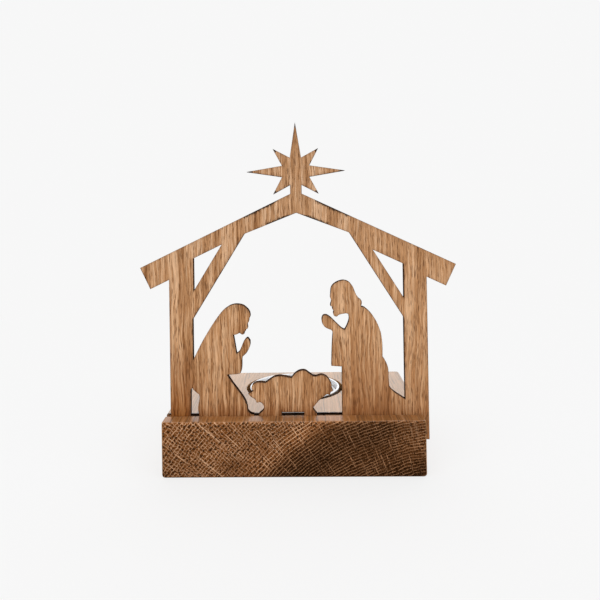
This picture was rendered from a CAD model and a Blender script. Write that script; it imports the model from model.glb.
"""A nativity stable: a laser-cut oak panel in the slot of a solid oak block, with a tealight behind it."""

import math

import bpy
import numpy as np
from bpy.props import FloatProperty, FloatVectorProperty, PointerProperty
from mathutils import Matrix, Vector
from mathutils.geometry import delaunay_2d_cdt


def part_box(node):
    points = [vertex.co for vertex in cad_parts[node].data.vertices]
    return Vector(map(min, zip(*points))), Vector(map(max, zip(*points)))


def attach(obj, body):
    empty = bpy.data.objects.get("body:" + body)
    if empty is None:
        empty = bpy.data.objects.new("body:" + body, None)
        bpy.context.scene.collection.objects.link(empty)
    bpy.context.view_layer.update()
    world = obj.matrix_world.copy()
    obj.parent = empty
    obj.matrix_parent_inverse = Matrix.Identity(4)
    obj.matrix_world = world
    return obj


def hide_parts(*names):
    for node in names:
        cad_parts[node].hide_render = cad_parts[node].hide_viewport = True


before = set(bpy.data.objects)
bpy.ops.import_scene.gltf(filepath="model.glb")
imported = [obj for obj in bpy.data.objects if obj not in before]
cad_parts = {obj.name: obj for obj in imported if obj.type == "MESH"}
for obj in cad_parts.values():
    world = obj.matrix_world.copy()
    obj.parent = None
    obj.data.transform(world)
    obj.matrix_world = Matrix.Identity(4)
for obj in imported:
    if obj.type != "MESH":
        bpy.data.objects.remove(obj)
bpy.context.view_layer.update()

bl_info = {
    "name": "Nativity stable with tealight",
    "version": (1, 0, 0),
    "blender": (4, 5, 0),
    "location": "3D View > Sidebar > Nativity",
    "description": "Builds the oak block, the cut oak panel and the tealight over the packed frame",
    "category": "Object",
}

MM = 0.001


def node_box(name):
    """The lowest and highest corner of a CAD node, in millimetres."""
    low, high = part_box(name)
    return np.array(low) / MM, np.array(high) / MM


def half_width(low, high):
    """Half the width of a box, which is the radius of a round piece."""
    return (high[0] - low[0]) / 2


# Sizes that follow from the frame, in millimetres, with the reach of the star's long rays, and with
# how far the cutters stand out of the block
BLOCK_LOW, BLOCK_HIGH = node_box("base_block")
FRONT_LOW, FRONT_HIGH = node_box("front_veneer")
CORE_LOW, CORE_HIGH = node_box("panel_core")
BACK_LOW, BACK_HIGH = node_box("back_veneer")
CUP_LOW, CUP_HIGH = node_box("tealight_cup")
WAX_LOW, WAX_HIGH = node_box("tealight_wax")
TIN_LOW, TIN_HIGH = node_box("wick_sustainer")
WICK_LOW, WICK_HIGH = node_box("wick")
STAR_REACH = 19.15
STAR_CENTRE = Vector(((FRONT_LOW[0] + FRONT_HIGH[0]) / 2, 0.0, FRONT_HIGH[2] - STAR_REACH))
RECESS_CENTRE = (CUP_LOW + CUP_HIGH) / 2
CUP_RADIUS = half_width(CUP_LOW, CUP_HIGH)
PANEL_FRONT = FRONT_LOW[1]
PANEL_BACK = BACK_HIGH[1]
SLOT_FLOOR = FRONT_LOW[2]
PAST_SURFACE = 3.0

# Colours that no setting carries
WHITE = (1.0, 1.0, 1.0)
BLACK = (0.003, 0.0015, 0.001)
VENEER_PORE = (0.105, 0.036, 0.009)
SMOKE_STAIN = (0.16, 0.065, 0.024)
BROWN_CHAR = (0.105, 0.056, 0.032)
GLOOM_TINT = (0.98, 0.78, 0.62)
DULL_FOIL = (0.74, 0.75, 0.77)
DULL_WAX = (0.76, 0.765, 0.77)
DULL_TIN = (0.58, 0.59, 0.61)
DARK_COTTON = (0.66, 0.62, 0.52)

# Names of the node groups
PORES = "oak pores"
SCORCH = "laser scorch"

# The drill's point as (radius, height) pairs over the recess floor, and the groove beside its wall
DRILL_POINT = ((0, -1.6), (0.3, -1.5), (1.5, -0.2), (1.6, 0))
RIM_GROOVE = ((-1.2, 0), (-0.9, -0.25), (0, -0.3))

# Each lamp's name, place and size in metres, and power in watts
LAMPS = (
    ("key lamp", (-0.45, -0.95, 1.05), (1.3, 1.3), 7.5),
    ("fill lamp", (1.0, -0.9, 0.65), (1.2, 1.2), 4.6),
    ("top lamp", (0.05, 0.35, 1.2), (1.2, 1.2), 3.5),
    ("back lamp", (0.0, 1.5, 0.7), (2.2, 1.2), 5.4),
)


# Settings

def size_setting(name, default, description):
    """A length, whose default is given in millimetres."""
    return FloatProperty(name=name, description=description, default=default * MM, unit="LENGTH")


def colour_setting(name, default, description, highest=1.0):
    """A colour, of which no part goes over the highest."""
    return FloatVectorProperty(
        name=name, description=description, default=default, subtype="COLOR", min=0.0, max=highest)


def angle_setting(name, default, description):
    """An angle, whose default is given in degrees."""
    return FloatProperty(
        name=name, description=description, default=math.radians(default), unit="ROTATION", subtype="ANGLE")


def place_setting(name, default, description):
    """A place, whose default is given in millimetres."""
    return FloatVectorProperty(
        name=name, description=description, default=[part * MM for part in default], unit="LENGTH",
        subtype="XYZ")


class NATIVITY_PG_block(bpy.types.PropertyGroup):
    """Sizes and colours of the oak block."""

    edge_rounding: size_setting("Edge rounding", 0.9, "Radius of the sanded outer edges")
    lip_rounding: size_setting("Lip rounding", 0.35, "Radius of the eased lips of the slot and the recess")
    slot_clearance: size_setting("Slot clearance", 0.15, "Air between the panel and each wall of the slot")
    recess_clearance: size_setting(
        "Recess clearance", 1.5, "Air between the tealight's rim and the wall of the recess")
    ring_spacing: size_setting("Ring spacing", 1.24, "Mean distance between two year rings")
    pith: place_setting("Pith", (60, 0, -67), "Where the middle of the tree was, seen from the front")
    end_grain: colour_setting(
        "End grain", (0.150, 0.053, 0.014), "Ground colour of the front and back")
    long_grain: colour_setting(
        "Long grain", (0.34, 0.175, 0.064), "Ground colour of the top, the sides and the underside")
    apron: colour_setting(
        "Apron", (0.285, 0.119, 0.035), "Ground colour of the strip of the top in front of the panel")
    ring_line: colour_setting(
        "Ring line", (0.64, 0.385, 0.225), "Colour of the thin pale line of each ring")
    pore: colour_setting("Pore", (0.014, 0.004, 0.0008), "Colour in the open pores")


class NATIVITY_PG_panel(bpy.types.PropertyGroup):
    """Sizes and colours of the cut panel."""

    outline_step: size_setting("Outline step", 0.38, "Distance between two points along the cut")
    scorch_width: size_setting(
        "Scorch width", 0.19, "How far the burn reaches from the cut into the face")
    ground: colour_setting("Ground", (0.415, 0.202, 0.084), "Main colour of the veneer")
    pale_streak: colour_setting("Pale streak", (0.63, 0.375, 0.205), "Colour of the pale streaks")
    dark_streak: colour_setting("Dark streak", (0.215, 0.082, 0.022), "Colour of the dark streaks")
    foot_tint: colour_setting(
        "Foot tint", (0.56, 0.36, 0.15),
        "Colour that multiplies the veneer at the block, where oil crept up", 2.0)
    crown_tint: colour_setting(
        "Crown tint", (1.06, 1.14, 1.28), "Colour that multiplies the veneer towards the star", 2.0)
    singed: colour_setting("Singed", (0.115, 0.052, 0.023), "Colour of the browned line beside the cut")
    burnt: colour_setting("Burnt", (0.010, 0.006, 0.004), "Colour of the cut wall")


class NATIVITY_PG_tealight(bpy.types.PropertyGroup):
    """Sizes and colours of the tealight."""

    foil_wall: size_setting("Foil wall", 0.3, "Thickness of the cup's wall")
    rim_bead: size_setting("Rim bead", 0.45, "Radius of the bead rolled outwards at the rim")
    foil: colour_setting("Foil", (0.82, 0.83, 0.85), "Colour of the aluminium")
    wax: colour_setting("Wax", (0.83, 0.83, 0.82), "Colour of the paraffin")
    tin: colour_setting("Tin", (0.70, 0.71, 0.72), "Colour of the wick's disc")
    cotton: colour_setting("Cotton", (0.80, 0.77, 0.69), "Colour of the waxed wick")


class NATIVITY_PG_stage(bpy.types.PropertyGroup):
    """The camera and the light of the world."""

    camera_place: place_setting("Camera place", (4.96, -270.47, 102.22), "Where the camera stands")
    pitch: angle_setting("Pitch", 0.684, "How far the camera looks up")
    yaw: angle_setting("Yaw", -1.360, "How far the camera looks to the right")
    roll: angle_setting("Roll", -0.885, "How far the camera leans")
    lens: FloatProperty(name="Lens", description="Focal length in millimetres", default=37.471)
    shift: FloatVectorProperty(
        name="Shift", description="Shift of the camera's frame", size=2, default=(0.02, -0.17))
    world_light: FloatProperty(
        name="World light", description="Strength of the light from all round", default=0.62)
    background: FloatProperty(
        name="Background", description="Brightness of the backdrop, where 1 is white", default=0.932)


# Mesh building

def make_object(name, verts, faces, body=None, node=None):
    """A mesh object of the given points in millimetres. With a body it stands for a CAD node."""
    mesh = bpy.data.meshes.new(name)
    mesh.from_pydata((np.asarray(verts, float) * MM).tolist(), [], faces)
    mesh.validate()
    mesh.update()
    piece = bpy.data.objects.new(name, mesh)
    bpy.context.scene.collection.objects.link(piece)
    if body:
        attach(piece, body)
        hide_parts(node)
    return piece


def dress(piece, angle, material):
    """Shades a piece smooth, with an edge kept sharp wherever two faces meet at more than the angle,
    and gives it its material."""
    mesh = piece.data
    mesh.shade_smooth()
    mesh.set_sharp_from_angle(angle=math.radians(angle))
    mesh.materials.append(material)


def arc(centre, radius, start, end, steps):
    """Points of an arc about a centre from one angle to another, in degrees, as an array of pairs."""
    angle = np.radians(np.linspace(start, end, steps + 1))
    return np.stack([centre[0] + radius * np.cos(angle), centre[1] + radius * np.sin(angle)], 1)


def grid_faces(rows, columns, wrap):
    """The quads between the points of a grid of rows and columns, numbered row by row.
    With wrap the last column joins the first again."""
    down = np.arange(rows - 1)[:, None]
    across = np.arange(columns if wrap else columns - 1)[None, :]
    right = (across + 1) % columns
    corners = [down * columns + across, down * columns + right,
               (down + 1) * columns + right, (down + 1) * columns + across]
    corners = np.broadcast_arrays(*corners)
    return np.stack([corner.ravel() for corner in corners], 1)


def closed_turning(name, profile, sides, wave=None, body=None, node=None):
    """A piece turned about the recess's axis. Its surface is a function of the place along the
    profile of (radius, height) pairs and the angle round the axis: x and y are the radius times the
    cosine and sine. The wave, if any, moves radius and height by small amounts that depend on both
    and on the angle. A profile that starts off the axis is joined end to start, and one that starts
    and ends on the axis has one pole at each end, so that the shell is closed either way."""
    angle = np.linspace(0, 2 * np.pi, sides, endpoint=False)
    r = np.repeat(profile[:, :1], sides, 1)
    z = np.repeat(profile[:, 1:], sides, 1)
    if wave is not None:
        r, z = wave(r, z, np.broadcast_to(angle, r.shape))
    x = RECESS_CENTRE[0] + r * np.cos(angle)
    y = RECESS_CENTRE[1] + r * np.sin(angle)
    verts = np.stack([x, y, z], -1).reshape(-1, 3)
    rows = len(profile)
    quads = grid_faces(rows, sides, True)
    if profile[0, 0] > 0:
        last = grid_faces(2, sides, True)
        last = np.where(last >= sides, last - sides, last + (rows - 1) * sides)
        return make_object(name, verts, np.concatenate([quads, last]).tolist(), body, node)
    inner = quads[sides:-sides] - sides + 1
    verts = np.concatenate([verts[:1], verts[sides:-sides], verts[-1:]])
    first_ring = 1 + np.arange(sides)
    last_ring = len(verts) - 1 - sides + np.arange(sides)
    bottom = np.stack([np.zeros(sides, int), np.roll(first_ring, -1), first_ring], 1)
    top = np.stack([np.full(sides, len(verts) - 1), last_ring, np.roll(last_ring, -1)], 1)
    faces = inner.tolist() + bottom.tolist() + top.tolist()
    return make_object(name, verts, faces, body, node)


def carried_section(name, sections):
    """A bar: each row of sections is a closed outline of points, and the rows follow one another
    along the path. The first and last outlines are closed by one face each."""
    rows, columns, _ = sections.shape
    faces = grid_faces(rows, columns, True).tolist()
    faces.append(list(range(columns))[::-1])
    faces.append(list(range((rows - 1) * columns, rows * columns)))
    return make_object(name, sections.reshape(-1, 3), faces)


def cut_away(piece, cutters):
    """Cuts the helper solids out of a piece, keeps the result as its mesh and deletes them."""
    for cutter in cutters:
        boolean = piece.modifiers.new("cut", "BOOLEAN")
        boolean.operation = "DIFFERENCE"
        boolean.solver = "EXACT"
        boolean.object = cutter
    settled = bpy.data.meshes.new_from_object(
        piece.evaluated_get(bpy.context.evaluated_depsgraph_get()))
    piece.modifiers.clear()
    plain = piece.data
    piece.data = settled
    settled.name = piece.name
    bpy.data.meshes.remove(plain)
    for cutter in cutters:
        mesh = cutter.data
        bpy.data.objects.remove(cutter)
        bpy.data.meshes.remove(mesh)


# The outline of the panel, with all its sizes in millimetres

FLAT_WITHIN = 0.01
KEYS_PER_MM = 1000
SHORTEST_CHORD = 0.06
LONGEST_CURVE = 3.0
TINY = 1e-9


def sheet_outline(node):
    """The outlines of a CAD sheet, as a list of closed arrays of (x, z) points in millimetres.
    An edge of the front face that only one triangle uses lies on the outline. Each point knows the
    next one, and by doubling the steps every point learns how far it is from its loop's first."""
    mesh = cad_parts[node].data
    points = np.empty(len(mesh.vertices) * 3, np.float32)
    mesh.vertices.foreach_get("co", points)
    points = points.reshape(-1, 3).astype(float) / MM
    mesh.calc_loop_triangles()
    corners = np.empty(len(mesh.loop_triangles) * 3, np.int32)
    mesh.loop_triangles.foreach_get("vertices", corners)
    corners = corners.reshape(-1, 3)
    front = (points[corners][:, :, 1] < points[:, 1].min() + FLAT_WITHIN).all(1)
    keys = np.round(points[:, [0, 2]] * KEYS_PER_MM).astype(np.int64)
    unique, same = np.unique(keys, axis=0, return_inverse=True)
    corners = same.ravel()[corners[front]]
    edges = np.concatenate([corners[:, [0, 1]], corners[:, [1, 2]], corners[:, [2, 0]]])
    count = len(unique)
    code = edges[:, 0] * count + edges[:, 1]
    back = edges[:, 1] * count + edges[:, 0]
    rim = edges[~np.isin(code, back)]
    used = np.unique(rim)
    to_small = np.full(count, -1)
    to_small[used] = np.arange(len(used))
    following = np.empty(len(used), int)
    following[to_small[rim[:, 0]]] = to_small[rim[:, 1]]
    jump = following.copy()
    first = np.arange(len(used))
    doublings = int(np.ceil(np.log2(len(used)))) + 1
    for _ in range(doublings):
        first = np.minimum(first, first[jump])
        jump = jump[jump]
    steps = (first != np.arange(len(used))).astype(int)
    jump = np.where(steps == 0, np.arange(len(used)), following)
    for _ in range(doublings):
        steps = steps + steps[jump]
        jump = jump[jump]
    place = unique[used] / KEYS_PER_MM
    loops = []
    for start in np.unique(first):
        members = np.flatnonzero(first == start)
        loops.append(place[members[np.argsort(-steps[members])]])
    return loops


def smooth_outline(points, step):
    """The closed outline as a smooth curve with points a step apart. Between two points it follows
    a cubic whose end directions are those of the parabola through each point and its neighbours.
    Corners of more than about 33 degrees stay corners, and long stretches stay straight."""
    corner_turn = math.radians(33)
    chord = np.roll(points, -1, 0) - points
    length = np.linalg.norm(chord, axis=1)
    keep = length > SHORTEST_CHORD
    points = points[keep]
    chord = np.roll(points, -1, 0) - points
    length = np.linalg.norm(chord, axis=1)
    ahead = chord / length[:, None]
    behind = np.roll(ahead, 1, 0)
    before = np.roll(length, 1)
    tangent = (length[:, None] * behind + before[:, None] * ahead) / (length + before)[:, None]
    turn = np.arccos(np.clip((ahead * behind).sum(1), -1, 1))
    corner = turn > corner_turn
    straight = length > LONGEST_CURVE
    leave = tangent.copy()
    arrive = np.roll(tangent, -1, 0)
    corner_next = np.roll(corner, -1)
    leave[corner] = (1.5 * ahead - 0.5 * arrive)[corner]
    arrive[corner_next] = (1.5 * ahead - 0.5 * leave)[corner_next]
    both = corner & corner_next | straight
    leave[both] = ahead[both]
    arrive[both] = ahead[both]
    pieces = np.maximum(1, np.ceil(length / step)).astype(int)
    segment = np.repeat(np.arange(len(points)), pieces)
    start_of = np.concatenate([[0], np.cumsum(pieces)[:-1]])
    t = (np.arange(len(segment)) - start_of[segment]) / pieces[segment]
    t = t[:, None]
    size = length[segment][:, None]
    here = points[segment]
    there = np.roll(points, -1, 0)[segment]
    return ((2 * t**3 - 3 * t**2 + 1) * here + (t**3 - 2 * t**2 + t) * size * leave[segment]
            + (3 * t**2 - 2 * t**3) * there + (t**3 - t**2) * size * arrive[segment])


def outline_distance(places, starts, ends, chunk=1500):
    """For each place, its distance to the nearest stretch of the outline, and whether it is inside:
    a place is inside where a ray towards larger x crosses the outline an odd number of times."""
    run = ends - starts
    run_squared = np.maximum((run**2).sum(1), TINY**2)
    distance = np.empty(len(places))
    inside = np.empty(len(places), bool)
    for begin in range(0, len(places), chunk):
        some = places[begin:begin + chunk]
        dx = (some[:, 0:1] - starts[None, :, 0]).astype(np.float32)
        dz = (some[:, 1:2] - starts[None, :, 1]).astype(np.float32)
        along = np.clip((dx * run[:, 0] + dz * run[:, 1]) / run_squared, 0, 1).astype(np.float32)
        off_x = dx - along * run[:, 0].astype(np.float32)
        off_z = dz - along * run[:, 1].astype(np.float32)
        distance[begin:begin + chunk] = np.sqrt((off_x**2 + off_z**2).min(1))
        above = some[:, 1:2] < starts[None, :, 1]
        spans = above != (some[:, 1:2] < ends[None, :, 1])
        safe = np.where(np.abs(run[:, 1]) < TINY, TINY, run[:, 1])
        crossing = dx < dz / safe * run[:, 0]
        inside[begin:begin + chunk] = (spans & crossing).sum(1) % 2 == 1
    return distance, inside


class PanelOutline:
    """The panel's cut outline, with the points that its faces are spun over."""

    depths = (0.12, 0.28, 0.52, 0.9, 1.5, 2.4)
    least_share = 0.8
    inner_pitch = 1.6
    inner_share = 0.4

    def __init__(self, node, step):
        loops = [smooth_outline(loop, step) for loop in sheet_outline(node)]
        self.rim = np.concatenate(loops)
        counts = [len(loop) for loop in loops]
        starts = np.cumsum([0] + counts[:-1])
        self.next = np.concatenate([
            start + (np.arange(count) + 1) % count for start, count in zip(starts, counts)])
        self.before = np.empty_like(self.next)
        self.before[self.next] = np.arange(len(self.next))
        self.ends = self.rim[self.next]
        self.inner, self.inner_depth = self._inner_points()
        self.flat = self._triangles(self.rim)
        self.fine = self._triangles(np.concatenate([self.rim, self.inner]))

    def _inner_points(self):
        """Points inside the outline: rings that follow it at set depths, and a grid of triangles
        further in. A ring's point that comes too near another stretch of the outline is left out."""
        ahead = self.ends - self.rim
        ahead = ahead / np.linalg.norm(ahead, axis=1)[:, None]
        behind = ahead[self.before]
        inward = np.stack([-(ahead + behind)[:, 1], (ahead + behind)[:, 0]], 1)
        size = np.linalg.norm(inward, axis=1)[:, None]
        inward = inward / np.maximum(size, 0.25) / np.maximum(size / 2, 0.5)
        places = []
        wanted = []
        for level, depth in enumerate(self.depths):
            every = max(1, 2 ** (level // 2))
            ring = (self.rim + inward * depth)[::every]
            places.append(ring)
            wanted.append(np.full(len(ring), depth * self.least_share))
        low = self.rim.min(0)
        high = self.rim.max(0)
        rows = np.arange(low[1], high[1], self.inner_pitch * math.sqrt(3) / 2)
        columns = np.arange(low[0], high[0], self.inner_pitch)
        x, z = np.meshgrid(columns, rows)
        x = x + np.where(np.arange(len(rows)) % 2, self.inner_pitch / 2, 0)[:, None]
        lattice = np.stack([x.ravel(), z.ravel()], 1)
        places.append(lattice)
        wanted.append(np.full(len(lattice), self.depths[-1] + self.inner_pitch * self.inner_share))
        places = np.concatenate(places)
        wanted = np.concatenate(wanted)
        distance, inside = outline_distance(places, self.rim, self.ends)
        good = inside & (distance > wanted)
        return places[good], distance[good]

    def _triangles(self, places):
        """The triangles between the places that lie inside the outline."""
        count = len(self.rim)
        edges = np.stack([np.arange(count), self.next], 1)
        result = delaunay_2d_cdt([Vector(place) for place in places], edges.tolist(), [], 0, 1e-7)
        if len(result[0]) != len(places):
            raise RuntimeError("the outline crosses itself")
        triangles = np.array(result[2])
        origin = np.array([ids[0] for ids in result[3]])
        triangles = origin[triangles]
        doubtful = (triangles < count).all(1)
        middles = places[triangles[doubtful]].mean(1)
        _, inside = outline_distance(middles, self.rim, self.ends)
        keep = np.ones(len(triangles), bool)
        keep[doubtful] = inside
        return triangles[keep]


def make_ply(name, node, outline, outer_y, inner_y, fine):
    """One ply of the board. Its outer face lies at outer_y and its inner face at inner_y. The fine
    face dips by a tenth of a millimetre towards the cut, as a curve that falls off with the square
    of the distance, because the burn eats the edge. The wall joins the two along the outline. Every
    point keeps its distance from the cut in the attribute cut_distance, in millimetres."""
    dip_depth = 0.1
    dip_reach = 0.2
    towards = 1.0 if inner_y > outer_y else -1.0
    rim = outline.rim
    count = len(rim)
    places = np.concatenate([rim, outline.inner]) if fine else rim
    depth = np.concatenate([np.zeros(count), outline.inner_depth]) if fine else np.zeros(count)
    dip = dip_depth * np.exp(-(depth / dip_reach) ** 2) if fine else np.zeros(count)
    outer = np.stack([places[:, 0], outer_y + towards * dip, places[:, 1]], 1)
    inner = np.stack([rim[:, 0], np.full(count, inner_y), rim[:, 1]], 1)
    verts = np.concatenate([outer, inner])
    shift = len(outer)
    triangles = outline.fine if fine else outline.flat
    here = np.arange(count)
    wall = np.stack([outline.next, here, here + shift, outline.next + shift], 1)
    if towards > 0:
        faces = triangles.tolist() + wall.tolist() + (outline.flat[:, ::-1] + shift).tolist()
    else:
        faces = triangles[:, ::-1].tolist() + wall[:, ::-1].tolist() + (outline.flat + shift).tolist()
    piece = make_object(name, verts, faces, "panel", node)
    kept = piece.data.attributes.new("cut_distance", "FLOAT", "POINT")
    kept.data.foreach_set("value", np.concatenate([depth, np.zeros(count)]).astype(np.float32))
    return piece


# Node trees

class Value:
    """What a node puts out. Arithmetic between values, plain numbers and triples adds the node that
    does it: a vector node wherever a vector takes part."""

    def __init__(self, socket):
        self.socket = socket
        self.tree = socket.id_data

    def __add__(self, other):
        return calc("ADD", self, other)

    def __sub__(self, other):
        return calc("SUBTRACT", self, other)

    def __rsub__(self, other):
        return calc("SUBTRACT", other, self)

    def __mul__(self, other):
        return calc("MULTIPLY", self, other)

    def __truediv__(self, other):
        return calc("DIVIDE", self, other)

    def __abs__(self):
        return calc("ABSOLUTE", self)


def tree_of(*given):
    """The tree of the first value among numbers and values."""
    return next(value.tree for value in given if isinstance(value, Value))


def feed(socket, value):
    """Joins a value to a socket, or sets the socket's own value."""
    if isinstance(value, Value):
        value.tree.links.new(value.socket, socket)
    elif socket.type == "RGBA":
        socket.default_value = (*value[:3], 1.0)
    else:
        socket.default_value = value


def put(tree, kind, links=(), **settings):
    """Adds a node, sets its settings, and feeds each named or numbered input."""
    node = tree.nodes.new("ShaderNode" + kind)
    for key, value in settings.items():
        setattr(node, key, value)
    for key, value in dict(links).items():
        feed(node.inputs[key], value)
    return node


def read(tree, kind, links=(), output=0, **settings):
    """Adds a node and gives the value that it puts out."""
    return Value(put(tree, kind, links, **settings).outputs[output])


def calc(operation, first, second=0.0):
    """One step of arithmetic, on vectors where one takes part and on numbers otherwise."""
    has_vector = any(
        value.socket.type == "VECTOR" if isinstance(value, Value) else isinstance(value, (tuple, Vector))
        for value in (first, second))
    kind = "VectorMath" if has_vector else "Math"
    return read(tree_of(first, second), kind, {0: first, 1: second}, operation=operation)


def most(first, *others):
    """The largest of several values."""
    for other in others:
        first = calc("MAXIMUM", first, other)
    return first


def magnitude(vector):
    """How long a vector is."""
    return read(vector.tree, "VectorMath", {0: vector}, "Value", operation="LENGTH")


def split(vector):
    """The three parts of a vector."""
    return [Value(socket) for socket in put(vector.tree, "SeparateXYZ", {0: vector}).outputs]


def joined(x, y=0.0, z=0.0):
    """A vector of three numbers."""
    return read(tree_of(x, y, z), "CombineXYZ", {0: x, 1: y, 2: z})


def grey(value):
    """A grey of the given brightness."""
    return read(value.tree, "CombineColor", {0: value, 1: value, 2: value})


def between(value, low, high, out_low=0.0, out_high=1.0, kind="SMOOTHSTEP"):
    """Moves a value from one range into another, smoothly and without leaving it."""
    links = {0: value, 1: low, 2: high, 3: out_low, 4: out_high}
    return read(value.tree, "MapRange", links, interpolation_type=kind)


def ramp(value, low, high, out_low, out_high):
    """Moves a value from one range into another in a straight line, without leaving it."""
    return between(value, low, high, out_low, out_high, "LINEAR")


def about_middle(noisy, out_low, out_high):
    """Moves the middle of a noise, from 0.3 to 0.7, into another range."""
    return ramp(noisy, 0.3, 0.7, out_low, out_high)


def lines_at_steps(value, wide, narrow):
    """Thin lines wherever the value passes a whole number, but for a constant shift."""
    shift = 0.33
    return between(calc("PINGPONG", value + shift, 0.5), wide, narrow)


def blend(amount, first, second, mode="MIX"):
    """Mixes two colours."""
    links = {0: amount, 6: first, 7: second}
    return read(tree_of(amount, first, second), "Mix", links, 2, data_type="RGBA", blend_type=mode)


def tinted(colour, tint, amount=1.0):
    """A colour times a tint."""
    return blend(amount, colour, tint, "MULTIPLY")


def noise(vector, scale=1.0, detail=2.0, roughness=0.5):
    """Smooth noise about one half."""
    links = {"Vector": vector, "Scale": scale, "Detail": detail, "Roughness": roughness}
    return read(vector.tree, "TexNoise", links, "Fac")


def bump(height, strength):
    """The normal of a surface that is raised by a height in millimetres."""
    return read(height.tree, "Bump", {"Height": height, "Strength": strength, "Distance": MM})


def make_group(name, inputs, outputs):
    """An empty node group with named sockets. Returns its given values and its output sockets."""
    group = bpy.data.node_groups.new(name, "ShaderNodeTree")
    for label, kind, default in inputs:
        socket = group.interface.new_socket(label, in_out="INPUT", socket_type="NodeSocket" + kind)
        if default is not None:
            socket.default_value = default
    for label in outputs:
        group.interface.new_socket(label, in_out="OUTPUT", socket_type="NodeSocketFloat")
    sockets = group.nodes.new("NodeGroupInput").outputs
    given = {label: Value(sockets[label]) for label, _, _ in inputs}
    return given, group.nodes.new("NodeGroupOutput").inputs


def use_group(tree, name, links):
    """Places a node group in a tree and gives its values by name."""
    node = tree.nodes.new("ShaderNodeGroup")
    node.node_tree = bpy.data.node_groups[name]
    for key, value in links.items():
        feed(node.inputs[key], value)
    return {socket.name: Value(socket) for socket in node.outputs}


def make_pore_group():
    """Open pores: small spots cut off from a flat field of cells, of which only some are open. The
    cell size is given for each axis, so that they can be round or long."""
    if PORES in bpy.data.node_groups:
        return
    given, result = make_group(
        PORES,
        [("Vector", "Vector", None), ("Cell", "Vector", (1.0, 1.0, 1.0)), ("Size", "Float", 0.3),
         ("Open", "Float", 0.5), ("Scatter", "Float", 1.0)],
        ["Pores"])
    scaled = given["Vector"] / given["Cell"]
    cells = put(scaled.tree, "TexVoronoi", {"Vector": scaled, "Scale": 1.0, "Randomness": given["Scatter"]},
                voronoi_dimensions="2D").outputs
    chance, growth, _ = put(scaled.tree, "SeparateColor", {0: Value(cells["Color"])}).outputs
    size = given["Size"] * ramp(Value(growth), 0.0, 1.0, 0.7, 1.2)
    spot = ramp(Value(cells["Distance"]), size, size * 0.55, 0.0, 1.0)
    is_open = between(given["Open"] - Value(chance), 0.0, 0.08)
    feed(result["Pores"], spot * is_open)


def make_scorch_group():
    """The burn beside a laser cut, from 0 to 1: it is full at the cut and falls off with distance,
    and its reach changes with a noise that is drawn out along the grain."""
    if SCORCH in bpy.data.node_groups:
        return
    given, result = make_group(
        SCORCH,
        [("Distance", "Float", 0.0), ("Vector", "Vector", None), ("Width", "Float", 0.4),
         ("Smoke", "Float", 1.5)],
        ["Burn", "Stain"])
    grain = noise(given["Vector"] * (2.6, 2.6, 0.5), roughness=0.6)
    reach = given["Width"] * between(grain, 0.35, 0.68, 0.55, 1.7)
    feed(result["Burn"], between(given["Distance"], reach, reach * 0.25))
    feed(result["Stain"], between(given["Distance"], given["Smoke"], 0.0))


def new_material(name, offset=(0.0, 0.0, 0.0)):
    """A material with its shader and its mapped Object coordinates, which are moved by the offset.
    Both are in millimetres."""
    material = bpy.data.materials.new(name)
    material.use_nodes = True
    tree = material.node_tree
    shader = tree.nodes["Principled BSDF"]
    place = read(tree, "TexCoord", output="Object")
    place = read(tree, "Mapping", {"Vector": place, "Location": offset, "Scale": (1 / MM,) * 3})
    return material, shader, place


def feed_all(node, **inputs):
    """Feeds a node's inputs by name, where an underscore stands for the space in the input's name."""
    for name, value in inputs.items():
        feed(node.inputs[name.replace("_", " ")], value)


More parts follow.
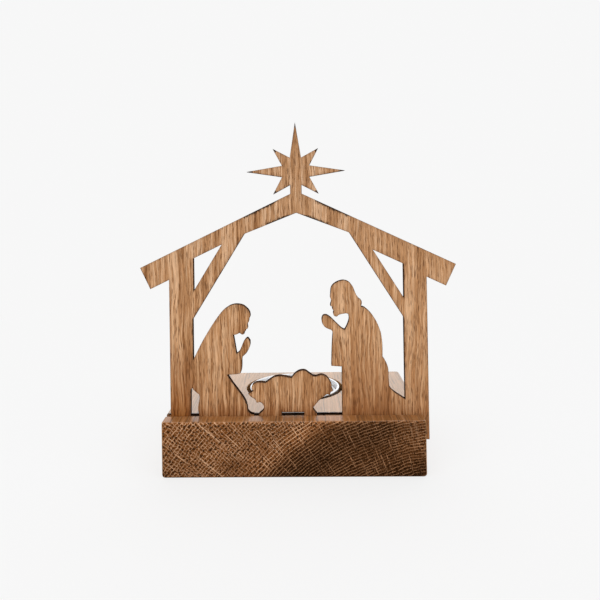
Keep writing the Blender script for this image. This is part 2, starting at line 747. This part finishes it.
def veneer_material(name, settings, offset, smoke):
    """Oak veneer with upright grain: soft streaks that sway, fine fibres and short dark pores. The
    right half is calmer, and it and the kneeling figure's robe are a little paler. The foot is oily
    and brown but for its middle, and the crown is palest. The cut is burnt, most at the star's tips."""
    material, shader, place = new_material(name, offset)
    tree = place.tree
    sway = (noise(place * (0.05, 0.05, 0.02)) - 0.5) * 4.5
    flame = (noise(place * (0.30, 0.2, 0.13), detail=1.0) - 0.5) * 1.1
    grain = place + joined(sway + flame)
    broad = noise(grain * (0.30, 0.2, 0.008))
    narrow = noise(grain * (1.8, 0.2, 0.055), detail=4.0, roughness=0.75)
    fibre = noise(grain * (5.5, 0.2, 0.19), roughness=0.6)
    tone = broad * 0.32 + narrow * 0.68
    unmoved = place - offset
    across, _, height = split(unmoved)
    calm = between(across + broad * 20.0, 5.0, 65.0)
    swing = (tone - 0.5) * between(calm, 0.0, 1.0, 1.0, 0.75)
    bright = calm * between(height, 86.0, 62.0, 0.008, 0.040)
    robe = between(across, -44.0, -36.0) * between(across, -14.0, -20.0)
    robe = robe * between(height, 66.0, 54.0, 0.0, 0.018)
    tone = swing + 0.5 + (bright + robe)
    colour = blend(between(tone, 0.49, 0.60), settings.ground, settings.pale_streak)
    colour = blend(between(tone, 0.485, 0.385), colour, settings.dark_streak)
    colour = tinted(colour, grey(about_middle(fibre, 0.72, 1.24)))
    grain_x, _, grain_z = split(grain)
    pores = use_group(tree, PORES, {
        "Vector": joined(grain_x, grain_z), "Cell": (0.58, 4.4, 1.0), "Size": 0.33,
        "Open": between(narrow, 0.58, 0.42, 0.16, 0.85)})["Pores"]
    colour = blend(pores * 0.66, colour, VENEER_PORE)
    patchy = height + (narrow - 0.5) * 16.0
    block_top = BLOCK_HIGH[2]
    middle = between(across, -42.0, -36.0) * between(across, 18.0, 12.0)
    spared = most(middle * 0.92, calm * 0.62)
    foot = ramp(patchy, block_top + 30.0, block_top, 0.0, 1.0) * (1.0 - spared)
    foot = most(foot, between(patchy, block_top + 7.0, block_top, 0.0, 0.6))
    colour = tinted(colour, settings.foot_tint, foot)
    colour = tinted(colour, settings.crown_tint, between(height, 50.0, 120.0))
    aside, _, above = split(unmoved - STAR_CENTRE)
    longer = most(abs(aside), abs(above))
    shorter = calc("MINIMUM", abs(aside), abs(above))
    tip = most(between(longer, 16.4, 17.5), between(shorter, 7.2, 7.9)) * between(longer, 21.0, 20.0)
    width = between(tone, 0.50, 0.42, 0.8, 1.9) * (settings.scorch_width / MM) + tip * 0.8
    distance = read(tree, "Attribute", output="Fac", attribute_name="cut_distance")
    scorch = use_group(
        tree, SCORCH, {"Distance": distance, "Vector": place, "Width": width, "Smoke": smoke})
    colour = blend(scorch["Stain"] * 0.22, colour, SMOKE_STAIN)
    char = noise(place * (0.45, 0.45, 0.45), detail=3.0, roughness=0.65)
    char = blend(most(between(char, 0.52, 0.62), tip), settings.singed, settings.burnt)
    feed_all(shader, Base_Color=blend(scorch["Burn"] * 0.92, colour, char), Specular_IOR_Level=0.15,
             Roughness=ramp(tone, 0.35, 0.65, 0.58, 0.48) + scorch["Burn"] * 0.4,
             Normal=bump(fibre * 0.05 - pores * 0.12, 0.5))
    return material


def burnt_material(settings):
    """Charred core: dark brown with finer lines that run straight through the board, as a laser
    leaves. Where it faces upwards just above the block it is black with soot."""
    material, shader, place = new_material("burnt core")
    lines = noise(place * (3.2, 0.05, 3.2), detail=3.0, roughness=0.7)
    patches = noise(place * (0.25, 0.25, 0.25))
    amount = lines * 0.6 + patches * 0.4
    colour = blend(between(amount, 0.40, 0.66), settings.burnt, BROWN_CHAR)
    upward = split(read(place.tree, "NewGeometry", output="Normal"))[2]
    sooty = between(split(place)[2], BLOCK_HIGH[2] + 1.4, BLOCK_HIGH[2] + 0.9) * between(upward, 0.5, 0.8)
    feed_all(shader, Base_Color=blend(sooty, colour, BLACK), Specular_IOR_Level=0.0,
             Roughness=about_middle(lines, 0.9, 0.65), Normal=bump(lines * 0.12, 0.6))
    return material


def solid_oak_material(settings):
    """Oak in the round: rings about the pith, which runs along Y, with a pale line for each ring and
    a row of pores between two lines. The pores are dots in the end grain and long lines on the other
    faces. The rings' spacing swings slowly with the distance from the pith, and they are crowded
    towards it. Rays run outwards, and the outer rings are restless and their lines broken. The end
    grain is gloomy near the pith and at the bottom, but for a spared patch at the right. On top, the
    strip before the panel has a colour of its own, and the slot's back lip is dark."""
    pith = Vector(settings.pith) / MM
    material, shader, place = new_material("solid oak", -pith)
    tree = place.tree
    slow = noise(place * (0.05, 0.006, 0.05))
    quick = noise(place * (0.28, 0.02, 0.28), detail=3.0)
    radius = magnitude(place * (1.0, 0.0, 1.0)) + slow * 3.2 + quick
    outer = between(radius, 101.0, 114.0)
    restless = ramp(outer, 0.0, 1.0, 0.35, 0.9)
    jitter = (noise(place * (0.85, 0.05, 0.85), detail=1.0) - 0.5) * restless
    radius = radius + 0.5 + jitter
    place_x, place_y, place_z = split(place)
    turn = calc("ARCTAN2", place_z, place_x)
    middle_radius = 81.0
    crowded = ramp(radius, 103.0, 73.0, 0.0, 3.6)
    swing = calc("SINE", (radius - middle_radius) * 0.157) * 0.25
    phase = radius / (settings.ring_spacing / MM) + swing - crowded
    patch = noise(place * (0.10, 0.02, 0.10))
    gaps = noise(place * (0.75, 0.05, 0.95))
    line = lines_at_steps(phase, 0.13, 0.02) * between(patch, 0.35, 0.6, 0.45, 1.0)
    line = line * most(between(gaps, 0.40, 0.56, 0.45, 1.0), 1.0 - outer)

    _, facing_y, facing_z = split(read(tree, "NewGeometry", output="Normal"))
    end = between(abs(facing_y), 0.45, 0.85)
    upward = between(facing_z, 0.45, 0.85)
    across, depth, height = split(place + pith)
    block_top = BLOCK_HIGH[2]
    apron = between(depth, PANEL_FRONT + 1.0, PANEL_FRONT)
    lip = between(depth, PANEL_BACK + 1.1, PANEL_BACK + 0.5) * between(depth, PANEL_BACK - 0.4, PANEL_BACK)
    lip = lip * between(height, block_top - 0.6, block_top - 0.2)
    ground = blend(apron * upward, settings.long_grain, settings.apron)
    ground = blend(lip, blend(end, ground, settings.end_grain), BLACK)

    tone = noise((place + (40.0, 0.0, 25.0)) * (0.07, 0.01, 0.07), detail=4.0, roughness=0.6)
    fine = noise(place * (2.4, 0.08, 2.4), detail=3.0, roughness=0.65)
    zone = calc("COSINE", (radius - middle_radius) * 0.286) * between(radius, 108.0, 122.0, 0.10, 0.04)
    spared = between(across, 34.0, 44.0) * between(height, 8.0, 14.0, 0.0, 0.5)
    gloom = between(radius, 104.5, 98.0, 0.0, 0.64) * (1.0 - spared)
    gloom = gloom + between(height, 13.0, 0.0, 0.0, 0.15)
    worn = between(height, block_top - 1.2, block_top - 0.4) * end
    light = (1.06 - gloom * end + zone) * about_middle(tone, 0.80, 1.22)
    light = light + about_middle(fine, -0.22, 0.22) + worn * 0.35

    sideways = noise(place * (1.05, 0.05, 0.70), detail=1.0)
    rays_per_radian = 110.0
    long_rays_per_radian = 330.0
    turned = turn * rays_per_radian + quick * 1.6 + sideways * restless
    ray = lines_at_steps(turned, 0.14, 0.02) * between(gaps, 0.60, 0.44, 0.35, 1.0)
    ray = ray * ramp(outer, 0.0, 1.0, 0.26, 0.72)
    broken = noise(place * (0.7, 0.11, 0.7))
    pores = use_group(tree, PORES, {
        "Vector": joined(phase, turned), "Size": 0.38, "Scatter": 0.80,
        "Open": between(broken, 0.62, 0.40, 0.30, 1.10)})["Pores"]
    polar = joined(turn * long_rays_per_radian, radius * 0.06, place_y * 0.10)
    long_rays = between(noise(polar, detail=1.0), 0.655, 0.70)
    pale = most(line, ray, long_rays * 0.85) * between(end, 0.0, 1.0, 0.35, 1.0)
    streak = tinted(grey(light * 0.68 + 0.32), settings.ring_line)
    streak = tinted(streak, GLOOM_TINT, gloom)
    colour = blend(pale, tinted(ground, grey(light)), streak)
    rim = most(abs(across) - (BLOCK_HIGH[0] - 1.0), 1.0 - height)
    colour = blend(between(rim, 0.3, 1.0, 0.0, 0.7) * end, colour, settings.pore)
    colour = blend(pores * between(end, 0.0, 1.0, 0.45, 0.88), colour, settings.pore)
    coat = between(upward, 0.0, 1.0, 0.22, 1.0) * (1.0 - end) * between(apron, 0.0, 1.0, 1.0, 0.55)
    feed_all(shader, Base_Color=colour, Roughness=about_middle(fine, 0.46, 0.62) + end * 0.12,
             Specular_IOR_Level=0.0, Coat_Weight=coat, Coat_Roughness=0.36, Coat_IOR=2.0,
             Normal=bump(fine * 0.06 - pores * 0.16, 0.5))
    return material


def foil_material(settings):
    """Drawn aluminium: bright, with fine upright drawing lines and a slight unevenness."""
    axis = (-RECESS_CENTRE[0], -RECESS_CENTRE[1], 0.0)
    material, shader, place = new_material("cup aluminium", axis)
    place_x, place_y, place_z = split(place)
    turn = calc("ARCTAN2", place_y, place_x)
    lines_per_radian = 60.0
    drawn = noise(joined(turn * lines_per_radian, place_z * 0.12), detail=3.0, roughness=0.6)
    smudge = noise(place, scale=0.22, detail=3.0)
    feed_all(shader, Base_Color=blend(between(smudge, 0.35, 0.65), settings.foil, DULL_FOIL), Metallic=1.0,
             Roughness=about_middle(drawn, 0.40, 0.54), Normal=bump(drawn * 0.05, 0.4))
    return material


def wax_material(settings):
    """Cast paraffin: white and slightly see-through, with a mottled bloom."""
    material, shader, place = new_material("wax")
    bloom = noise(place, scale=0.35, detail=4.0, roughness=0.6)
    speckle = noise(place, scale=2.2)
    feed_all(shader, Base_Color=blend(between(bloom, 0.35, 0.65), settings.wax, DULL_WAX),
             Subsurface_Weight=0.35, Subsurface_Radius=(1.0, 0.85, 0.7), Subsurface_Scale=2.0 * MM,
             Roughness=about_middle(bloom, 0.32, 0.5), Normal=bump(bloom * 0.25 + speckle * 0.04, 0.35))
    return material


def tin_material(settings):
    """Tinned sheet: grey metal with a cloudy sheen."""
    material, shader, place = new_material("sustainer tin")
    cloud = noise(place, scale=0.9, detail=3.0)
    feed_all(shader, Base_Color=blend(between(cloud, 0.35, 0.65), settings.tin, DULL_TIN), Metallic=1.0,
             Roughness=about_middle(cloud, 0.28, 0.45))
    return material


def cotton_material(settings):
    """Braided cotton soaked in wax: pale, with fine crossing threads."""
    material, shader, place = new_material("wick cotton")
    threads = noise(place * (5.0, 5.0, 1.6), detail=3.0, roughness=0.7)
    feed_all(shader, Base_Color=blend(between(threads, 0.35, 0.65), DARK_COTTON, settings.cotton),
             Roughness=about_middle(threads, 0.85, 0.6), Normal=bump(threads * 0.12, 0.6))
    return material


# Pieces

def rounded_plan(half_x, half_y, corner, inset, steps=6):
    """A rectangle with rounded corners, drawn in by an inset, as an array of (x, y) points that run
    anticlockwise: four arcs of a quarter turn each, joined by straight lines."""
    x = half_x - corner
    y = half_y - corner
    corners = [arc(centre, corner - inset, start, start + 90, steps)
               for centre, start in (((x, y), 0), ((-x, y), 90), ((-x, -y), 180), ((x, -y), 270))]
    return np.concatenate(corners)


def block_blank(settings):
    """The block before it is sawn and drilled. Its surface is a function of the place along a profile
    and the place round the plan: at each height the rounded rectangle is drawn in by the inset that
    the quarter arcs at the top and bottom edges give."""
    rounding = settings.edge_rounding / MM
    inner_corner = 0.7
    corner = rounding + inner_corner
    half = (BLOCK_HIGH - BLOCK_LOW) / 2
    bottom = arc((rounding, rounding), rounding, 270, 180, 6)
    top = arc((rounding, BLOCK_HIGH[2] - rounding), rounding, 180, 90, 6)
    sections = []
    for inset, height in np.concatenate([bottom, top]):
        plan = rounded_plan(half[0], half[1], corner, inset)
        sections.append(np.column_stack([plan, np.full(len(plan), height)]))
    return carried_section("oak_block", np.array(sections))


def slot_cutter(settings):
    """The saw's way through the block: its section across the slot is carried along X. Its floor has
    small rounded corners and its lips flare by a quarter arc, and both flare again at the ends."""
    lip = settings.lip_rounding / MM
    front = PANEL_FRONT - settings.slot_clearance / MM
    back = PANEL_BACK + settings.slot_clearance / MM
    top = BLOCK_HIGH[2]
    end = BLOCK_HIGH[0]
    floor_round = 0.3
    steps = 5
    mouth = arc((front - lip, top - lip), lip, 90, 0, steps)
    foot = arc((front + floor_round, SLOT_FLOOR + floor_round), floor_round, 180, 270, steps)
    left = np.concatenate([[(front - lip, top + PAST_SURFACE)], mouth, foot])
    right = left[::-1].copy()
    right[:, 0] = front + back - right[:, 0]
    outline = np.concatenate([left, right])
    outward = np.zeros_like(outline)
    outward[:len(left), 0] = -1.0
    outward[len(left):, 0] = 1.0
    outward[outline[:, 1] < SLOT_FLOOR + floor_round / 2, 1] = -1.0
    flare = arc((end - lip, lip), lip, 270, 360, steps)
    stations = np.concatenate([flare[:, 0], [end + PAST_SURFACE]])
    offsets = np.concatenate([flare[:, 1], [lip]])
    stations = np.concatenate([-stations[::-1], stations])
    offsets = np.concatenate([offsets[::-1], offsets])
    sections = []
    for station, offset in zip(stations, offsets):
        section = outline + outward * offset
        sections.append(np.column_stack([np.full(len(section), station), section]))
    return carried_section("slot_cutter", np.array(sections))


def recess_cutter(settings):
    """The drill's way into the block, turned about the tealight's axis: a small hole of the drill's
    point, a flat floor with a fine groove of its rim cutter, a straight wall and a rounded lip."""
    lip = settings.lip_rounding / MM
    radius = CUP_RADIUS + settings.recess_clearance / MM
    floor = CUP_LOW[2]
    top = BLOCK_HIGH[2]
    point = np.array(DRILL_POINT) + (0, floor)
    groove = np.array(RIM_GROOVE) + (radius, floor)
    mouth = arc((radius + lip, top - lip), lip, 180, 90, 6)
    above = np.array([(radius + lip, top + PAST_SURFACE), (0, top + PAST_SURFACE)])
    return closed_turning("recess_cutter", np.concatenate([point, groove, mouth, above]), 160)


class NATIVITY_OT_block(bpy.types.Operator):
    """Makes the oak block with its slot and its recess"""

    bl_idname = "nativity.block"
    bl_label = "Oak block"

    def execute(self, context):
        settings = context.scene.nativity_block
        make_pore_group()
        blank = block_blank(settings)
        cut_away(blank, [slot_cutter(settings), recess_cutter(settings)])
        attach(blank, "base")
        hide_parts("base_block")
        blank.data.materials.clear()
        dress(blank, 30, solid_oak_material(settings))
        weighted = blank.modifiers.new("even shading", "WEIGHTED_NORMAL")
        weighted.keep_sharp = True
        return {"FINISHED"}


class NATIVITY_OT_panel(bpy.types.Operator):
    """Makes the three plies of the laser-cut panel"""

    bl_idname = "nativity.panel"
    bl_label = "Cut panel"

    def execute(self, context):
        settings = context.scene.nativity_panel
        make_pore_group()
        make_scorch_group()
        outline = PanelOutline("front_veneer", settings.outline_step / MM)
        gap = 0.005
        front = make_ply("stable_front_ply", "front_veneer", outline,
                         FRONT_LOW[1], FRONT_HIGH[1] - gap, fine=True)
        core = make_ply("stable_core", "panel_core", outline,
                        CORE_LOW[1] + gap, CORE_HIGH[1] - gap, fine=False)
        back = make_ply("stable_back_ply", "back_veneer", outline,
                        BACK_HIGH[1], BACK_LOW[1] + gap, fine=True)
        dress(front, 40, veneer_material("front oak veneer", settings, (3.0, 40.0, 12.0), 1.2))
        dress(core, 40, burnt_material(settings))
        dress(back, 40, veneer_material("back oak veneer", settings, (61.0, -80.0, 47.0), 3.2))
        return {"FINISHED"}


class NATIVITY_OT_cup(bpy.types.Operator):
    """Makes the tealight's drawn aluminium cup"""

    bl_idname = "nativity.cup"
    bl_label = "Tealight cup"

    def execute(self, context):
        settings = context.scene.nativity_tealight
        cup = self.make_cup(settings)
        dress(cup, 50, foil_material(settings))
        return {"FINISHED"}

    def make_cup(self, settings):
        """The drawn cup: a flat floor with a ring pressed into it, a rounded foot, an upright wall and
        a bead rolled outwards at the rim. The sum of two sine waves round the wall flutes it. They
        grow with the height and fade out below the bead."""
        wall = settings.foil_wall / MM
        bead = settings.rim_bead / MM
        low = CUP_LOW[2]
        rim = CUP_HIGH[2] - bead
        bead_at = CUP_RADIUS - bead
        outer = bead_at - bead + wall
        inner = outer - wall
        foot = 1.6
        flat_to = 9.5
        ring_from, ring_at, ring_to = 11.5, 12.6, 13.7
        ring_height = 0.25
        floor = low + wall
        wall_from = low + 3
        wall_to = rim - 2
        fade_in = 2
        ribs = 60
        rib_height = 0.06
        dents = 17
        dent_height = 0.02
        profile = np.concatenate([
            [(0, low), (5, low), (flat_to, low)],
            [(ring_from, low), (ring_at, low + ring_height), (ring_to, low)],
            arc((outer - foot, low + foot), foot, 270, 360, 6),
            np.linspace((outer, wall_from), (outer, wall_to), 9),
            arc((bead_at, rim), bead, -70, 180, 12),
            np.linspace((inner, wall_to), (inner, wall_from), 9),
            arc((inner - foot + wall, low + foot), foot - wall, 0, -90, 6),
            [(ring_to, floor), (ring_at, floor + 0.02), (ring_from, floor)],
            [(flat_to, floor), (5, floor), (0, floor)]])

        def drawn(r, z, angle):
            grown = np.clip((z - low - fade_in) / (rim - wall_from), 0, 1)
            calm_at_rim = np.clip((rim - 0.6 - z) / fade_in, 0, 1)
            flutes = rib_height * np.sin(ribs * angle) + dent_height * np.sin(dents * angle + 1.3)
            return r + flutes * grown * calm_at_rim, z

        return closed_turning("candle_cup", profile, 360, drawn, "cup", "tealight_cup")


class NATIVITY_OT_candle(bpy.types.Operator):
    """Makes the wax, the wick and the tin disc that holds it"""

    bl_idname = "nativity.candle"
    bl_label = "Candle"

    def execute(self, context):
        settings = context.scene.nativity_tealight
        self.make_wax(settings)
        self.make_tin(settings)
        self.make_wick(settings)
        return {"FINISHED"}

    def make_wax(self, settings):
        """The cast pellet: a rounded foot, an upright side, a rounded edge, a flat ring, and a shallow
        dish whose depth grows with the square of the cosine towards the wick. The wax climbs the wick
        a little, and two sine waves round the pellet make its top uneven."""
        low = WAX_LOW[2]
        top = WAX_HIGH[2]
        radius = half_width(WAX_LOW, WAX_HIGH)
        disc = half_width(TIN_LOW, TIN_HIGH) + 0.15
        disc_top = low + 0.55
        collar = 1.75
        collar_top = TIN_HIGH[2] + 0.15
        bore = half_width(WICK_LOW, WICK_HIGH) + 0.1
        foot = 1.6
        edge = 0.8
        flat = radius - 5.3
        dish_depth = 0.6
        climb_height = 0.35
        climb_reach = 0.7
        calm_within = 6
        across = np.linspace(1, 0, 14)
        dish_r = bore + (flat - bore) * across
        dish_z = top - dish_depth * np.cos(across * np.pi / 2) ** 2
        climb = climb_height * np.exp(-((dish_r - bore) / climb_reach) ** 2)
        profile = np.concatenate([
            [(disc, low)],
            arc((radius - foot, low + foot), foot, 270, 360, 6),
            np.linspace((radius, low + 3), (radius, top - edge - 1), 5),
            arc((radius - edge, top - edge), edge, 0, 90, 6),
            np.linspace((radius - 1.5, top), (flat + 0.5, top), 5),
            np.column_stack([dish_r, dish_z + climb]),
            [(bore, collar_top), (collar, collar_top), (collar, disc_top), (disc, disc_top)]])

        def poured(r, z, angle):
            surface = np.clip((z - top + 1.0) / 0.6, 0, 1)
            uneven = 0.05 * np.sin(3 * angle + 0.4 * r) + 0.04 * np.sin(7 * angle - 0.7 * r)
            return r, z - np.abs(uneven) * surface * np.clip(r / calm_within, 0, 1)

        wax = closed_turning("candle_wax", profile, 144, poured, "candle", "tealight_wax")
        dress(wax, 50, wax_material(settings))

    def make_tin(self, settings):
        """The stamped disc, with a raised ring near its rim and a collar crimped round the wick: the
        collar's radius changes with the cosine of six times the angle."""
        low = TIN_LOW[2]
        top = TIN_HIGH[2]
        disc = half_width(TIN_LOW, TIN_HIGH)
        face = low + 0.4
        raised = face + 0.1
        crimps = 6
        crimp_depth = 0.07
        profile = np.array([
            (0, low), (disc - 0.1, low), (disc, low + 0.1), (disc, face - 0.1), (disc - 0.1, face),
            (4.6, face), (4.4, raised), (3.9, raised), (3.7, face), (1.9, face), (1.62, face + 0.2),
            (1.52, low + 1.2), (1.5, top - 0.15), (1.4, top), (1.1, top), (0.95, top - 0.2),
            (0.95, face), (0, face)])

        def crimped(r, z, angle):
            part = np.clip((z - low - 1.0) / 0.6, 0, 1) * (r > 0.5)
            return r + crimp_depth * np.cos(crimps * angle) * part, z

        tin = closed_turning("candle_sustainer", profile, 96, crimped,
                             "candle", "wick_sustainer")
        dress(tin, 40, tin_material(settings))

    def make_wick(self, settings):
        """The braid: the radius is a base plus the product of two sine waves that wind round the wick
        in opposite directions, and above the wax its middle leans by the square of the height."""
        radius = half_width(WICK_LOW, WICK_HIGH)
        low = WICK_LOW[2]
        top = WICK_HIGH[2]
        bend_from = WAX_HIGH[2]
        strands = 4
        pitch = 1.5
        turns = 2 * np.pi / pitch
        weave_depth = 0.12
        lean_reach = 0.5 * MM
        height = np.concatenate([np.linspace(low, top - 0.25, 120), [top - 0.1, top]])
        size = np.concatenate([[0.0], np.ones(119), [0.72, 0.0]])

        def braid(r, z, angle):
            weave = np.sin(strands * angle + turns * z) * np.sin(strands * angle - turns * z)
            return r * (1 - weave_depth + weave_depth * weave), z

        wick = closed_turning("candle_wick", np.column_stack([radius * size, height]), 48, braid,
                              "candle", "wick")
        place = np.empty(len(wick.data.vertices) * 3)
        wick.data.vertices.foreach_get("co", place)
        place = place.reshape(-1, 3)
        lean = np.clip((place[:, 2] / MM - bend_from) / (top - bend_from), 0, 1) ** 2
        place[:, 0] += lean_reach * lean
        wick.data.vertices.foreach_set("co", place.ravel())
        wick.data.update()
        dress(wick, 60, cotton_material(settings))


class NATIVITY_OT_stage(bpy.types.Operator):
    """Makes the floor, the lamps, the world and the camera"""

    bl_idname = "nativity.stage"
    bl_label = "Stage"

    def execute(self, context):
        settings = context.scene.nativity_stage
        self.make_floor(settings)
        self.make_world(settings)
        for lamp in LAMPS:
            self.make_lamp(*lamp)
        self.make_camera(settings)
        context.scene.view_settings.view_transform = "Standard"
        return {"FINISHED"}

    def seen_plainly(self, tree):
        """One for camera, glossy and transmission rays, which see the backdrop's own brightness."""
        path = put(tree, "LightPath").outputs
        return most(*[Value(path[f"Is {kind} Ray"]) for kind in ("Camera", "Glossy", "Transmission")])

    def make_floor(self, settings):
        """A wide flat disc. Near the object it is pale paint that takes the shadow, and further out
        it fades to the plain brightness of the backdrop."""
        sides = 64
        angle = np.linspace(0, 2 * np.pi, sides, endpoint=False)
        ring = np.stack([np.cos(angle), np.sin(angle), np.zeros(sides)], 1)
        verts = np.concatenate([np.zeros((1, 3))] + [ring * size for size in (300.0, 900.0, 4000.0)])
        here = 1 + np.arange(sides)
        fan = np.stack([np.zeros(sides, int), here, np.roll(here, -1)], 1)
        bands = grid_faces(3, sides, True)[:, ::-1] + 1
        floor = make_object("floor", verts, fan.tolist() + bands.tolist())
        material, shader, place = new_material("pale floor")
        tree = place.tree
        feed_all(shader, Base_Color=(0.86, 0.86, 0.862), Roughness=0.9, Specular_IOR_Level=0.1)
        plain = read(tree, "Emission", {"Color": WHITE, "Strength": settings.background})
        amount = self.seen_plainly(tree) * between(magnitude(place), 60.0, 420.0, 0.80, 1.0)
        mixed = read(tree, "MixShader", {0: amount, 1: Value(shader.outputs[0]), 2: plain})
        feed(tree.nodes["Material Output"].inputs["Surface"], mixed)
        floor.data.materials.append(material)

    def make_world(self, settings):
        """A plain bright world. The camera and reflections see the backdrop's own brightness."""
        world = bpy.data.worlds.new("studio")
        bpy.context.scene.world = world
        world.use_nodes = True
        tree = world.node_tree
        light = tree.nodes["Background"]
        feed_all(light, Color=WHITE, Strength=settings.world_light)
        plain = read(tree, "Background", {"Color": WHITE, "Strength": settings.background})
        mixed = read(tree, "MixShader", {0: self.seen_plainly(tree), 1: Value(light.outputs[0]), 2: plain})
        feed(tree.nodes["World Output"].inputs["Surface"], mixed)

    def make_lamp(self, name, place, size, power):
        """A soft box that looks at the middle of the object. The camera doesn't see it."""
        lamp = bpy.data.lights.new(name, "AREA")
        lamp.shape = "RECTANGLE"
        lamp.size, lamp.size_y = size
        lamp.energy = power
        holder = bpy.data.objects.new(name, lamp)
        bpy.context.scene.collection.objects.link(holder)
        aim = Vector((0.0, 0.0, 0.05))
        holder.location = place
        holder.visible_camera = False
        holder.rotation_euler = (aim - Vector(place)).to_track_quat("-Z", "Y").to_euler()

    def make_camera(self, settings):
        """The camera in the photograph's place. Its view direction comes from yaw and pitch, and its
        sideways and upward directions are then turned about it by the roll."""
        data = bpy.data.cameras.new("camera")
        data.lens = settings.lens
        data.sensor_width = 36.0
        data.shift_x, data.shift_y = settings.shift
        data.clip_start = 0.01
        data.clip_end = 50.0
        yaw = settings.yaw
        pitch = settings.pitch
        roll = settings.roll
        forward = Vector((math.sin(yaw) * math.cos(pitch), math.cos(yaw) * math.cos(pitch),
                          math.sin(pitch)))
        level = Vector((math.cos(yaw), -math.sin(yaw), 0.0))
        upright = level.cross(forward)
        right = level * math.cos(roll) + upright * math.sin(roll)
        up = upright * math.cos(roll) - level * math.sin(roll)
        turn = Matrix((right, up, -forward)).transposed().to_4x4()
        camera = bpy.data.objects.new("camera", data)
        camera.matrix_world = Matrix.Translation(settings.camera_place) @ turn
        bpy.context.scene.collection.objects.link(camera)
        bpy.context.scene.camera = camera


class NATIVITY_PT_sidebar(bpy.types.Panel):
    """Lists the makers of the pieces"""

    bl_idname = "NATIVITY_PT_sidebar"
    bl_label = "Nativity stable"
    bl_space_type = "VIEW_3D"
    bl_region_type = "UI"
    bl_category = "Nativity"

    def draw(self, context):
        for maker in MAKERS:
            self.layout.operator(maker.bl_idname)
        for group in SETTINGS:
            box = self.layout.box()
            box.label(text=group)
            held = getattr(context.scene, group)
            for key in held.__annotations__:
                box.prop(held, key)


MAKERS = (NATIVITY_OT_block, NATIVITY_OT_panel, NATIVITY_OT_cup, NATIVITY_OT_candle, NATIVITY_OT_stage)
SETTINGS = {
    "nativity_block": NATIVITY_PG_block,
    "nativity_panel": NATIVITY_PG_panel,
    "nativity_tealight": NATIVITY_PG_tealight,
    "nativity_stage": NATIVITY_PG_stage,
}


def register():
    """Adds the classes and the settings to Blender."""
    for group in (*SETTINGS.values(), *MAKERS, NATIVITY_PT_sidebar):
        bpy.utils.register_class(group)
    for name, group in SETTINGS.items():
        setattr(bpy.types.Scene, name, PointerProperty(type=group))


def unregister():
    """Takes the settings and the classes away again."""
    for name in SETTINGS:
        delattr(bpy.types.Scene, name)
    for group in (NATIVITY_PT_sidebar, *MAKERS, *SETTINGS.values()):
        bpy.utils.unregister_class(group)


def main():
    register()
    bpy.ops.nativity.block()
    bpy.ops.nativity.panel()
    bpy.ops.nativity.cup()
    bpy.ops.nativity.candle()
    bpy.ops.nativity.stage()


if __name__ == "__main__":
    main()
